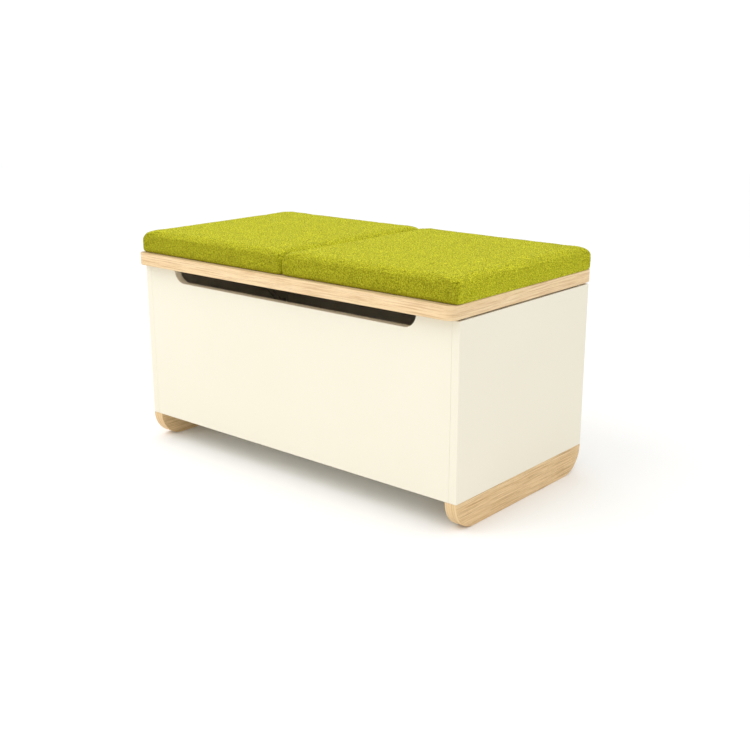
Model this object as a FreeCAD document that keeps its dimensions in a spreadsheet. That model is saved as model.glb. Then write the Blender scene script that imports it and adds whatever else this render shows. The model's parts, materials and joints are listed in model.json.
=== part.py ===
import FreeCAD, Part
import os
import re
import Sketcher

# A wooden toy box that is also a bench: a white board carcass on two oak runners, an oak lid on a
# continuous hinge with two gas struts, and two cushions held on the lid by hook and loop strips.
#
# Millimetres. X runs along the box, +Y points to its back and +Z up. The origin is on the floor,
# under the middle of the lid. Every size below is a cell of the sheet, and the objects are bound to it.

SIZES = (
    ("box_length", 900, "body and lid, left to right"),
    ("body_depth", 460, "body, front to back"),
    ("panel_height", 359, "side, front and back panels"),
    ("panel_thickness", 18, "side, front and back panels"),
    ("bottom_thickness", 16, "bottom panel"),
    ("edge_round", 1, "rounding of every board edge"),
    ("slot_length", 696, "finger slot in the front panel's top edge"),
    ("slot_radius", 30, "depth of the finger slot, and its two round corners"),
    ("runner_height", 60, "runners, and the radius of their round ends"),
    ("runner_thickness", 28, "runners, across the box"),
    ("runner_round", 1.5, "rounding of the runners' long edges"),
    ("lid_depth", 500, "lid, front to back"),
    ("lid_thickness", 28, "lid"),
    ("lid_gap", 3, "shadow gap between the panels and the lid"),
    ("lid_front_overhang", 24, "lid past the front panel"),
    ("lid_corner_radius", 20, "lid corners seen from above"),
    ("lid_edge_round", 2, "lid's top and bottom edges"),
    ("bumper_radius", 4, "lid bumpers"),
    ("bumper_height", 2.9, "lid bumpers"),
    ("bumper_inset", 30, "lid bumpers from the body's front and back"),
    ("dowel_radius", 4, "all wooden dowels"),
    ("dowel_length", 30, "panel and bottom dowels"),
    ("dowel_depth", 10, "how far panel and bottom dowels go into the outer board"),
    ("runner_dowel_length", 40, "dowels between runner and side panel"),
    ("cam_radius", 7.5, "cam locks"),
    ("cam_height", 12.5, "cam locks"),
    ("cam_reach", 34, "from the panel's end to the cam lock's axis"),
    ("cam_slot", 7.6, "cam lock's slot for the bolt's head"),
    ("bolt_radius", 2.5, "cam bolt's shank"),
    ("bolt_head_radius", 3.5, "cam bolt's head"),
    ("bolt_head_height", 3, "cam bolt's head"),
    ("bolt_thread_radius", 3, "cam bolt's thread, in the side panel"),
    ("bolt_thread_length", 11, "cam bolt's thread, in the side panel"),
    ("bolt_bore_radius", 4, "bore in the panel's end, round the cam bolt"),
    ("joint_low", 45, "lower cam lock above the panel's bottom edge"),
    ("joint_high", 299, "upper cam lock above the panel's bottom edge"),
    ("joint_pitch", 30, "from a cam lock to the dowel beside it"),
    ("runner_screw_inset", 90, "end runner screws from the body's front and back"),
    ("runner_dowel_inset", 140, "runner dowels from the body's front and back"),
    ("runner_bore_radius", 6, "counterbore under the runner"),
    ("runner_bore_depth", 25, "counterbore under the runner"),
    ("runner_screw_head", 5, "runner screw's head, radius"),
    ("runner_screw_radius", 2.5, "runner screw's shank"),
    ("runner_screw_length", 65, "runner screw"),
    ("hinge_length", 800, "continuous hinge"),
    ("knuckle_pitch", 25, "continuous hinge, one knuckle and its gap"),
    ("knuckle_gap", 0.4, "between neighbouring knuckles"),
    ("knuckle_radius", 2.6, "hinge barrel"),
    ("pin_radius", 1.2, "hinge pin"),
    ("pin_clearance", 0.05, "radial, in the lid leaf's knuckles"),
    ("leaf_thickness", 1, "hinge leaves"),
    ("leaf_width", 25, "hinge leaves, beyond the barrel"),
    ("leaf_relief", 3.2, "from the hinge axis to a leaf's edge beside the other leaf's knuckle"),
    ("leaf_screw_line", 16, "from the hinge axis to the line of screws"),
    ("small_screw_head", 3, "hinge and bracket screw's head, radius"),
    ("small_screw_radius", 1.5, "hinge and bracket screw's shank"),
    ("small_screw_length", 14, "hinge and bracket screw"),
    ("small_screw_pitch", 100, "hinge screws, along the box"),
    ("recess_width", 0.8, "arms of the cross recess in a screw's head"),
    ("recess_depth", 1, "cross recess in a screw's head"),
    ("strut_arm", 181, "from the hinge axis to each strut pivot"),
    ("strut_closed", 210, "between a strut's pivots, lid closed"),
    ("upper_pivot_drop", 4.8, "degrees from the lid's plane down to the upper pivot, at the hinge axis"),
    ("strut_inset", 17, "from a side panel's inner face to the strut's axis"),
    ("ball_radius", 5, "ball studs"),
    ("ball_clearance", 0.05, "radial, between ball and socket"),
    ("stud_radius", 3, "neck of a ball stud"),
    ("socket_radius", 7.5, "sockets, round the ball"),
    ("socket_back", 6.5, "socket from the ball's centre towards the middle of the box"),
    ("socket_front", 5.5, "socket from the ball's centre towards the side panel"),
    ("socket_mouth", 4.7, "round mouth that the stud comes through, radius"),
    ("socket_neck_radius", 5, "neck that the rod or tube screws into"),
    ("socket_neck_length", 18, "from the ball's centre to the neck's end"),
    ("rod_radius", 3, "strut's rod"),
    ("rod_start", 8, "rod's end in its socket, from the lower pivot"),
    ("rod_end", 187.5, "rod's end in the tube, from the lower pivot"),
    ("piston_radius", 6.45, "strut's piston"),
    ("piston_height", 8, "strut's piston"),
    ("tube_radius", 7.5, "strut's tube, outside"),
    ("tube_bore", 6.5, "strut's tube, inside"),
    ("tube_start", 25, "tube's open end from the lower pivot, lid closed"),
    ("tube_end", 192, "tube's closed end from the lower pivot, lid closed"),
    ("tube_end_wall", 3, "tube's closed end"),
    ("tube_stud_length", 10, "threaded stud on the tube's closed end"),
    ("guide_height", 12, "guide and seal in the tube's open end"),
    ("guide_clearance", 0.05, "radial, between guide and rod"),
    ("plate_thickness", 2, "ball stud brackets"),
    ("plate_width", 30, "ball stud brackets"),
    ("plate_height", 56, "lower brackets"),
    ("plate_screw_pitch", 38, "screws of a lower bracket"),
    ("flange_offset", 10, "from the strut's axis to the upper bracket's upright flange"),
    ("flange_below", 6, "upright flange below the upper pivot"),
    ("foot_length", 30, "upper bracket's flat foot, across the box"),
    ("foot_screw_line", 22, "upper bracket's screws from its flange"),
    ("foot_screw_pitch", 18, "screws of an upper bracket"),
    ("cushion_length", 449, "each cushion, left to right"),
    ("cushion_depth", 480, "each cushion, front to back"),
    ("cushion_height", 48, "each cushion"),
    ("cushion_setback", 10, "cushion behind the lid's front edge"),
    ("cushion_corner", 22, "cushion corners seen from above"),
    ("cushion_round", 12, "cushion's top and bottom edges"),
    ("cover_thickness", 1.5, "cushion cover, top and sides"),
    ("cover_base", 3, "cushion cover and lining underneath"),
    ("foam_inset", 15, "foam inside the cushion's sides"),
    ("foam_below_top", 9, "foam below the cushion's top"),
    ("foam_above_base", 6, "foam above the lid"),
    ("foam_corner", 9, "foam corners seen from above"),
    ("foam_round", 4, "foam's top and bottom edges"),
    ("strip_thickness", 1.2, "a hook strip, and a loop strip"),
    ("strip_width", 25, "hook and loop strips"),
    ("strip_length", 380, "hook and loop strips"),
    ("strip_spread", 170, "hook and loop strips in front of and behind the cushion's middle"),
    ("zip_length", 380, "zip in the back of a cushion"),
    ("zip_tape_height", 22, "zip tape"),
    ("zip_tape_thickness", 0.8, "zip tape"),
    ("zip_coil_height", 4.4, "zip teeth"),
    ("zip_coil_depth", 1.4, "zip teeth"),
    ("slider_length", 11, "zip slider, along the zip"),
    ("slider_height", 9, "zip slider"),
    ("slider_wall", 1.6, "zip slider, outside the teeth"),
    ("slider_clearance", 0.3, "round the teeth"),
    ("lug_height", 2.6, "zip slider's two lugs, out to the pull's pivot"),
    ("lug_width", 1.5, "zip slider's lugs, along the zip"),
    ("lug_radius", 1.6, "zip slider's lugs, round the pivot"),
    ("pull_pin_radius", 0.7, "pivot of the zip pull"),
    ("pull_pin_clearance", 0.08, "radial, in the zip pull"),
    ("pull_width", 5, "zip pull"),
    ("pull_length", 19, "zip pull, below its pivot"),
    ("pull_thickness", 1.2, "zip pull"),
    ("pull_eye_radius", 2, "zip pull round its pivot"),
)

# Places that several parts share, worked out from the driving sizes.
HALF_LENGTH = "(box_length / 2)"
INNER_X = f"({HALF_LENGTH} - panel_thickness)"
SIDE_MIDDLE_X = f"({HALF_LENGTH} - panel_thickness / 2)"
LID_FRONT_Y = "(-lid_depth / 2)"
FRONT_Y = f"({LID_FRONT_Y} + lid_front_overhang)"
BACK_Y = f"({FRONT_Y} + body_depth)"
FRONT_MIDDLE_Y = f"({FRONT_Y} + panel_thickness / 2)"
BACK_MIDDLE_Y = f"({BACK_Y} - panel_thickness / 2)"
BODY_MIDDLE_Y = f"({FRONT_Y} + body_depth / 2)"
PANEL_TOP_Z = "(runner_height + panel_height)"
LID_BOTTOM_Z = f"({PANEL_TOP_Z} + lid_gap)"
LID_TOP_Z = f"({LID_BOTTOM_Z} + lid_thickness)"
HINGE_Y = f"({BACK_Y} + lid_gap)"
HINGE_Z = PANEL_TOP_Z
STRUT_X = f"({INNER_X} - strut_inset)"
HALF_STRUT_ANGLE = "asin(strut_closed / 2 / strut_arm)"
UPPER_DROP = "(upper_pivot_drop * 1 deg)"
STRUT_LEAN = f"({UPPER_DROP} + {HALF_STRUT_ANGLE})"
LOWER_DROP = f"({UPPER_DROP} + 2 * {HALF_STRUT_ANGLE})"
LOWER_PIVOT_Y = f"({HINGE_Y} - strut_arm * cos({LOWER_DROP}))"
LOWER_PIVOT_Z = f"({HINGE_Z} - strut_arm * sin({LOWER_DROP}))"
UPPER_PIVOT_Y = f"({HINGE_Y} - strut_arm * cos({UPPER_DROP}))"
UPPER_PIVOT_Z = f"({HINGE_Z} - strut_arm * sin({UPPER_DROP}))"
CUSHION_X = "(box_length / 4)"
CUSHION_FRONT_Y = f"({LID_FRONT_Y} + cushion_setback)"
CUSHION_BACK_Y = f"({CUSHION_FRONT_Y} + cushion_depth)"
CUSHION_MIDDLE_Y = f"({CUSHION_FRONT_Y} + cushion_depth / 2)"
ZIP_Z = f"({LID_TOP_Z} + cushion_height / 2)"
ZIP_Y = f"({CUSHION_BACK_Y} + zip_tape_thickness)"
SLIDER_X = "(zip_length / 2 - slider_length)"
SLIDER_FACE_Y = f"({ZIP_Y} + zip_coil_depth + slider_clearance + slider_wall)"
PULL_PIVOT_Y = f"({SLIDER_FACE_Y} + lug_height)"

SIDES = (("left", -1), ("right", 1))
X_AXIS = FreeCAD.Vector(1, 0, 0)
Y_AXIS = FreeCAD.Vector(0, 1, 0)
Z_AXIS = FreeCAD.Vector(0, 0, 1)
# How an object that points along +Z turns to point each way.
POINTING = {
    "+X": FreeCAD.Rotation(Y_AXIS, 90),
    "-X": FreeCAD.Rotation(Y_AXIS, -90),
    "+Y": FreeCAD.Rotation(X_AXIS, -90),
    "-Y": FreeCAD.Rotation(X_AXIS, 90),
    "+Z": FreeCAD.Rotation(),
    "-Z": FreeCAD.Rotation(X_AXIS, 180),
    "seam to +Y": FreeCAD.Rotation(Z_AXIS, 90),
}

doc = FreeCAD.newDocument("toy_box")
sheet = doc.addObject("Spreadsheet::Sheet", "sizes")
for row, (alias, value, meaning) in enumerate(SIZES, start=1):
    sheet.set(f"A{row}", meaning)
    sheet.set(f"B{row}", str(value))
    sheet.setAlias(f"B{row}", alias)
doc.recompute()

ALIASES = re.compile(r"\b(" + "|".join(alias for alias, _, _ in SIZES) + r")\b")
nodes = []


# ---------------------------------------------------------------- binding and placing

def formula(text):
    """The expression with each alias read from the sheet."""
    return ALIASES.sub(r"sizes.\1", str(text))


def bind(obj, **expressions):
    for name, text in expressions.items():
        obj.setExpression(name, formula(text))
    return obj


def place(obj, x=0, y=0, z=0, pointing="+Z"):
    obj.Placement = FreeCAD.Placement(FreeCAD.Vector(), POINTING[pointing])
    for axis, text in zip("xyz", (x, y, z)):
        obj.setExpression(f"Placement.Base.{axis}", formula(text))
    return obj


def lean_with_strut(obj, side):
    """Puts an object made along +Z from the lower pivot on the strut's axis."""
    obj.Placement = FreeCAD.Placement(FreeCAD.Vector(), FreeCAD.Rotation(X_AXIS, 40))
    for axis, text in zip("xyz", (f"{side} * {STRUT_X}", LOWER_PIVOT_Y, LOWER_PIVOT_Z)):
        obj.setExpression(f"Placement.Base.{axis}", formula(text))
    obj.setExpression("Placement.Rotation.Angle", formula(STRUT_LEAN))
    return obj


def node(name, obj):
    """Names the finished sub-part, which is written to a file of that name."""
    obj.Label = name
    nodes.append(obj)
    return obj


# ---------------------------------------------------------------- primitives and booleans

def box(x_size, y_size, z_size, x=0, y=0, z=0):
    """A block with its lowest corner at x, y, z."""
    made = doc.addObject("Part::Box", "block")
    bind(made, Length=x_size, Width=y_size, Height=z_size)
    return place(made, x, y, z)


def cylinder(radius, length, x=0, y=0, z=0, pointing="+Z"):
    made = doc.addObject("Part::Cylinder", "round")
    bind(made, Radius=radius, Height=length)
    return place(made, x, y, z, pointing)


def cone(start_radius, end_radius, length, z=0):
    made = doc.addObject("Part::Cone", "cone")
    bind(made, Radius1=start_radius, Radius2=end_radius, Height=length)
    return place(made, 0, 0, z)


def sphere(radius, x=0, y=0, z=0):
    """A ball whose seam faces +Y, away from the studs and mouths, which lie along X."""
    made = doc.addObject("Part::Sphere", "ball")
    bind(made, Radius=radius)
    return place(made, x, y, z, "seam to +Y")


def fuse(*pieces):
    made = doc.addObject("Part::MultiFuse", "fused")
    made.Shapes = list(pieces)
    return made


def cut(base, *tools):
    for tool in tools:
        made = doc.addObject("Part::Cut", "cut")
        made.Base = base
        made.Tool = tool
        base = made
    return base


def group(*pieces):
    """Separate solids that share one object."""
    made = doc.addObject("Part::Compound", "group")
    made.Links = list(pieces)
    return made


def copies(master, places):
    """The master at each (x, y, z, pointing), as one group."""
    links = []
    for x, y, z, pointing in places:
        link = doc.addObject("App::Link", "copy")
        link.LinkedObject = master
        link.LinkTransform = False
        links.append(place(link, x, y, z, pointing))
    return group(*links)


# ---------------------------------------------------------------- sketched bodies

def new_body(name):
    body = doc.addObject("PartDesign::Body", name)
    doc.recompute()
    return body


def new_sketch(body, plane):
    sketch = body.newObject("Sketcher::SketchObject", "sketch")
    origin = next(o for o in body.Origin.OriginFeatures if o.Role == plane)
    sketch.AttachmentSupport = (origin, [""])
    sketch.MapMode = "FlatFace"
    return sketch


def dimension(sketch, name, text, *constraint):
    """A named driving constraint, bound to the sheet."""
    index = sketch.addConstraint(Sketcher.Constraint(*constraint))
    sketch.renameConstraint(index, name)
    sketch.setExpression(f"Constraints.{name}", formula(text))


def sheet_value(text):
    """A formula's number, for the first guess of a sketch."""
    return float(sheet.evalExpression(formula(text)))


def draw_rectangle(sketch, width, height):
    """Middle of its lower edge on the sketch's origin."""
    half = sheet_value(width) / 2
    top = sheet_value(height)
    corners = ((-half, 0), (half, 0), (half, top), (-half, top))
    for (x1, y1), (x2, y2) in zip(corners, corners[1:] + corners[:1]):
        line = Part.LineSegment(FreeCAD.Vector(x1, y1, 0), FreeCAD.Vector(x2, y2, 0))
        sketch.addGeometry(line, False)
    for edge in range(4):
        sketch.addConstraint(Sketcher.Constraint("Coincident", edge, 2, (edge + 1) % 4, 1))
    for edge in (0, 2):
        sketch.addConstraint(Sketcher.Constraint("Horizontal", edge))
    for edge in (1, 3):
        sketch.addConstraint(Sketcher.Constraint("Vertical", edge))
    sketch.addConstraint(Sketcher.Constraint("Symmetric", 0, 1, 0, 2, -1, 1))
    dimension(sketch, "across", width, "DistanceX", 0, 1, 0, 2, 2 * half)
    dimension(sketch, "upwards", height, "DistanceY", 1, 1, 1, 2, top)


def draw_boat(sketch, width, radius, top):
    """A straight top edge at the height top, with a quarter circle down from each of its ends to a
    straight bottom edge: the outline of a runner, and of the finger slot."""
    half = sheet_value(width) / 2
    r = sheet_value(radius)
    up = sheet_value(top)
    level = Part.LineSegment(FreeCAD.Vector(half, up, 0), FreeCAD.Vector(-half, up, 0))
    low = Part.LineSegment(FreeCAD.Vector(r - half, up - r, 0), FreeCAD.Vector(half - r, up - r, 0))
    centre_left = FreeCAD.Vector(r - half, up, 0)
    centre_right = FreeCAD.Vector(half - r, up, 0)
    normal = FreeCAD.Vector(0, 0, 1)
    quarter = 3.141592653589793 / 2
    left = Part.ArcOfCircle(Part.Circle(centre_left, normal, r), 2 * quarter, 3 * quarter)
    right = Part.ArcOfCircle(Part.Circle(centre_right, normal, r), 3 * quarter, 4 * quarter)
    for geometry in (level, left, low, right):
        sketch.addGeometry(geometry, False)
    sketch.addConstraint(Sketcher.Constraint("Coincident", 0, 2, 1, 1))
    sketch.addConstraint(Sketcher.Constraint("Tangent", 1, 2, 2, 1))
    sketch.addConstraint(Sketcher.Constraint("Tangent", 2, 2, 3, 1))
    sketch.addConstraint(Sketcher.Constraint("Coincident", 3, 2, 0, 1))
    sketch.addConstraint(Sketcher.Constraint("PointOnObject", 1, 3, 0))
    sketch.addConstraint(Sketcher.Constraint("PointOnObject", 3, 3, 0))
    sketch.addConstraint(Sketcher.Constraint("Symmetric", 0, 1, 0, 2, -2))
    sketch.addConstraint(Sketcher.Constraint("Equal", 1, 3))
    dimension(sketch, "across", width, "DistanceX", 0, 2, 0, 1, 2 * half)
    dimension(sketch, "corner", radius, "Radius", 1, r)
    dimension(sketch, "level", top, "DistanceY", -1, 1, 0, 1, up)


def pad(body, sketch, length):
    made = body.newObject("PartDesign::Pad", "pad")
    made.Profile = sketch
    bind(made, Length=length)
    doc.recompute()
    return made


def pocket_through(body, sketch):
    """Cuts the sketch through the body both ways, and makes sure that it has."""
    before = body.Shape.Volume
    made = body.newObject("PartDesign::Pocket", "pocket")
    made.Profile = sketch
    made.Type = "ThroughAll"
    made.Midplane = True
    doc.recompute()
    if body.Shape.Volume >= before:
        raise RuntimeError(f"{made.Name} cuts nothing")
    return made


def round_edges(body, radius, wanted=lambda edge: True):
    """Fillets those edges of the body's tip that wanted() picks."""
    base = body.Tip
    names = [f"Edge{i}" for i, e in enumerate(base.Shape.Edges, start=1) if wanted(e)]
    made = body.newObject("PartDesign::Fillet", "fillet")
    made.Base = (base, names)
    bind(made, Radius=radius)
    doc.recompute()
    return made


def upright(edge):
    """True for a straight edge along Z."""
    a, b = edge.Vertexes[0].Point, edge.Vertexes[-1].Point
    return abs(a.x - b.x) < 1e-6 and abs(a.y - b.y) < 1e-6


def board(name, x_size, y_size, z_size, x, y, z):
    """A board with eased edges. x is its middle, y its front and z its bottom."""
    body = new_body(name)
    sketch = new_sketch(body, "XY_Plane")
    draw_rectangle(sketch, x_size, y_size)
    pad(body, sketch, z_size)
    round_edges(body, "edge_round")
    return place(body, x, y, z)


def soft_block(name, x_size, y_size, z_size, corner, edge, x, y, z):
    """A block with rounded corners and rounded top and bottom edges."""
    body = new_body(name)
    sketch = new_sketch(body, "XY_Plane")
    draw_rectangle(sketch, x_size, y_size)
    pad(body, sketch, z_size)
    round_edges(body, corner, upright)
    round_edges(body, edge, lambda e: not upright(e))
    return place(body, x, y, z)


# ---------------------------------------------------------------- fasteners

def countersunk_screw():
    """(the screw, the hole that it fills), both pointing along +Z with the head's face at 0."""
    head_height = "(small_screw_head - small_screw_radius)"
    tip_height = "(2 * small_screw_radius)"
    shank_length = f"(small_screw_length - {head_height} - {tip_height})"
    hole = fuse(
        cone("small_screw_head", "small_screw_radius", head_height),
        cylinder("small_screw_radius", shank_length, 0, 0, head_height),
        cone("small_screw_radius", "small_screw_radius / 6", tip_height, f"{head_height} + {shank_length}"),
    )
    reach = "(1.4 * small_screw_head)"
    arm_x = box(reach, "recess_width", "recess_depth", f"-{reach} / 2", "-recess_width / 2", 0)
    arm_y = box("recess_width", reach, "recess_depth", "-recess_width / 2", f"-{reach} / 2", 0)
    return cut(hole, fuse(arm_x, arm_y)), hole


def runner_screw():
    """Pan head and shank, pointing along +Z with the head's face at 0."""
    head_height = "(runner_screw_head * 0.7)"
    return fuse(
        cylinder("runner_screw_head", head_height),
        cylinder("runner_screw_radius", "runner_screw_length", 0, 0, head_height),
    )


def cam_bolt():
    """Points along +Z: thread below 0, in the outer board, then shank and head."""
    shank = "(cam_reach - bolt_head_height / 2)"
    return fuse(
        cylinder("bolt_thread_radius", "bolt_thread_length", 0, 0, "-bolt_thread_length"),
        cylinder("bolt_radius", shank),
        cylinder("bolt_head_radius", "bolt_head_height", 0, 0, shank),
    )


def corner_joints():
    """(x, y, z, pointing, inward) of each cam joint between a side panel and the front or back panel.
    pointing is the bolt's way, and inward the way that the cam lock faces."""
    places = []
    for _, side in SIDES:
        pointing = "-X" if side > 0 else "+X"
        for y, inward in ((FRONT_MIDDLE_Y, "+Y"), (BACK_MIDDLE_Y, "-Y")):
            for height in ("joint_low", "joint_high"):
                places.append((f"{side} * {INNER_X}", y, f"runner_height + {height}", pointing, inward))
    return places


def cam_hardware():
    """(bolts, bolt bores, locks, lock pockets)"""
    joints = corner_joints()
    bolts = copies(cam_bolt(), [joint[:4] for joint in joints])
    bore = cylinder("bolt_bore_radius", "cam_reach")
    bores = copies(bore, [joint[:4] for joint in joints])
    disc = cylinder("cam_radius", "cam_height")
    lock = cut(disc, box(
        "2 * cam_radius", "cam_slot", "cam_slot",
        "-cam_radius", "-cam_slot / 2", "panel_thickness / 2 - cam_slot / 2",
    ))
    return bolts, bores, lock, disc


def opposite(pointing):
    return ("-" if pointing[0] == "+" else "+") + pointing[1]


def cam_locks(master):
    """The cam locks, or their pockets: from the panel's inner face into the board."""
    places = []
    for x, y, z, pointing, inward in corner_joints():
        way = 1 if pointing == "+X" else -1
        face = 1 if inward == "+Y" else -1
        places.append((
            f"{x} + {way} * cam_reach",
            f"{y} + {face} * panel_thickness / 2",
            z,
            opposite(inward),
        ))
    return copies(master, places)


# ---------------------------------------------------------------- carcass

def carcass_dowels():
    """Two in each corner joint, beside the cam locks, and those round the bottom panel."""
    places = []
    for _, side in SIDES:
        start_x = f"{side} * ({INNER_X} + dowel_depth)"
        pointing = "-X" if side > 0 else "+X"
        for y in (FRONT_MIDDLE_Y, BACK_MIDDLE_Y):
            places.append((start_x, y, "runner_height + joint_low + joint_pitch", pointing))
            places.append((start_x, y, "runner_height + joint_high - joint_pitch", pointing))
    return places


def bottom_dowels():
    level = "runner_height + bottom_thickness / 2"
    places = []
    for _, side in SIDES:
        pointing = "-X" if side > 0 else "+X"
        for along in (-1, 1):
            y = f"{BODY_MIDDLE_Y} + {along} * body_depth / 4"
            places.append((f"{side} * ({INNER_X} + dowel_depth)", y, level, pointing))
    for along in (-1, 0, 1):
        x = f"{along} * box_length / 3"
        places.append((x, f"{FRONT_Y} + panel_thickness - dowel_depth", level, "+Y"))
        places.append((x, f"{BACK_Y} - panel_thickness + dowel_depth", level, "-Y"))
    return places


def runner_places(inset, z, with_middle):
    """Points in the runners under the middle of each side panel."""
    places = []
    for _, side in SIDES:
        ys = [f"{FRONT_Y} + {inset}", f"{BACK_Y} - {inset}"]
        if with_middle:
            ys.append(BODY_MIDDLE_Y)
        for y in ys:
            places.append((f"{side} * {SIDE_MIDDLE_X}", y, z, "+Z"))
    return places


def bracket_screw_places():
    """(lower bracket screws in the side panels, upper bracket screws in the lid)"""
    lower, upper = [], []
    for _, side in SIDES:
        outward = "+X" if side > 0 else "-X"
        x = f"{side} * ({INNER_X} - plate_thickness)"
        foot_x = f"{side} * ({STRUT_X} + flange_offset - foot_screw_line)"
        for along in (-1, 1):
            lower.append((x, LOWER_PIVOT_Y, f"{LOWER_PIVOT_Z} + {along} * plate_screw_pitch / 2", outward))
            y = f"{UPPER_PIVOT_Y} + {along} * foot_screw_pitch / 2"
            upper.append((foot_x, y, f"{LID_BOTTOM_Z} - plate_thickness", "+Z"))
    return lower, upper


def hinge_screw_places():
    """(fixed leaf's screws in the back panel, lid leaf's screws in the lid)"""
    fixed, moving = [], []
    count = int(sheet_value("hinge_length / small_screw_pitch"))
    for i in range(count):
        x = f"({i} - {(count - 1) / 2}) * small_screw_pitch"
        fixed.append((x, f"{BACK_Y} + leaf_thickness", f"{HINGE_Z} - leaf_screw_line", "-Y"))
        moving.append((x, f"{HINGE_Y} - leaf_screw_line", f"{LID_BOTTOM_Z} - leaf_thickness", "+Z"))
    return fixed, moving


def make_carcass():
    dowel = cylinder("dowel_radius", "dowel_length")
    panel_dowels = node("panel_dowels", copies(dowel, carcass_dowels()))
    low_dowels = node("bottom_dowels", copies(dowel, bottom_dowels()))
    bolts, bores, lock, disc = cam_hardware()
    node("cam_bolts", bolts)
    node("cam_locks", cam_locks(lock))
    pockets = cam_locks(disc)
    screw = runner_screw()
    under_dowel = cylinder("dowel_radius", "runner_dowel_length")
    screws = copies(screw, runner_places("runner_screw_inset", "runner_bore_depth", True))
    dowels = copies(under_dowel, runner_places(
        "runner_dowel_inset", "runner_height - runner_dowel_length / 2", False))
    counterbore = cylinder("runner_bore_radius", "runner_bore_depth")
    counterbores = copies(counterbore, runner_places("runner_screw_inset", 0, True))
    node("runner_screws", screws)
    node("runner_dowels", dowels)

    small_screw, small_hole = countersunk_screw()
    lower_places, upper_places = bracket_screw_places()
    fixed_places, moving_places = hinge_screw_places()
    holes = {
        "side": copies(small_hole, lower_places),
        "lid": copies(small_hole, upper_places + moving_places),
        "lid_leaf": copies(small_hole, moving_places),
        "back": copies(small_hole, fixed_places),
        "foot": copies(small_hole, upper_places),
    }
    node("lower_bracket_screws", copies(small_screw, lower_places))
    node("upper_bracket_screws", copies(small_screw, upper_places))
    node("hinge_fixed_screws", copies(small_screw, fixed_places))
    node("hinge_lid_screws", copies(small_screw, moving_places))

    for hand, side in SIDES:
        blank = board(
            f"{hand}_side_board", "panel_thickness", "body_depth", "panel_height",
            f"{side} * {SIDE_MIDDLE_X}", FRONT_Y, "runner_height",
        )
        drilled = cut(blank, panel_dowels, low_dowels, bolts, dowels, screws, holes["side"])
        node(f"{hand}_side_panel", drilled)

        runner = new_body(f"{hand}_runner_board")
        outline = new_sketch(runner, "YZ_Plane")
        draw_boat(outline, "body_depth", "runner_height", "runner_height")
        pad(runner, outline, "runner_thickness")
        round_edges(runner, "runner_round", below_the_top)
        inner = f"{HALF_LENGTH} - runner_thickness" if side > 0 else f"-{HALF_LENGTH}"
        place(runner, inner, BODY_MIDDLE_Y, 0)
        node(f"{hand}_runner", cut(runner, dowels, screws, counterbores))

    between = f"2 * {INNER_X}"
    front = new_body("front_board")
    outline = new_sketch(front, "XZ_Plane")
    draw_rectangle(outline, between, "panel_height")
    pad(front, outline, "panel_thickness")
    slot = new_sketch(front, "XZ_Plane")
    draw_boat(slot, "slot_length", "slot_radius", "panel_height")
    pocket_through(front, slot)
    round_edges(front, "edge_round")
    place(front, 0, f"{FRONT_Y} + panel_thickness", "runner_height")
    node("front_panel", cut(front, panel_dowels, low_dowels, bores, pockets))

    back = board(
        "back_board", between, "panel_thickness", "panel_height",
        0, f"{BACK_Y} - panel_thickness", "runner_height",
    )
    node("back_panel", cut(back, panel_dowels, low_dowels, bores, pockets, holes["back"]))

    bottom = board(
        "bottom_board", between, "body_depth - 2 * panel_thickness", "bottom_thickness",
        0, f"{FRONT_Y} + panel_thickness", "runner_height",
    )
    node("bottom_panel", cut(bottom, low_dowels))

    bumper = cylinder("bumper_radius", "bumper_height")
    places = runner_places("bumper_inset", PANEL_TOP_Z, False)
    node("lid_bumpers", copies(bumper, places))
    return holes


def below_the_top(edge):
    """True for a runner's long edges, round its ends too, but not along its top face."""
    a, b = edge.Vertexes[0].Point, edge.Vertexes[-1].Point
    return abs(a.y - b.y) > 1e-6 and min(a.z, b.z) < sheet_value("runner_height") - 1e-6


# ---------------------------------------------------------------- lid and hinge

def make_lid(holes):
    lid = new_body("lid_blank")
    outline = new_sketch(lid, "XY_Plane")
    draw_rectangle(outline, "box_length", "lid_depth")
    pad(lid, outline, "lid_thickness")
    round_edges(lid, "lid_corner_radius", upright)
    round_edges(lid, "lid_edge_round", lambda e: not upright(e))
    place(lid, 0, LID_FRONT_Y, LID_BOTTOM_Z)
    node("lid_board", cut(lid, holes["lid"]))


def knuckle_places(first):
    """Every second place along the hinge."""
    count = int(sheet_value("hinge_length / knuckle_pitch"))
    return [f"{i} * knuckle_pitch - hinge_length / 2 + knuckle_gap / 2" for i in range(first, count, 2)]


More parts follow.
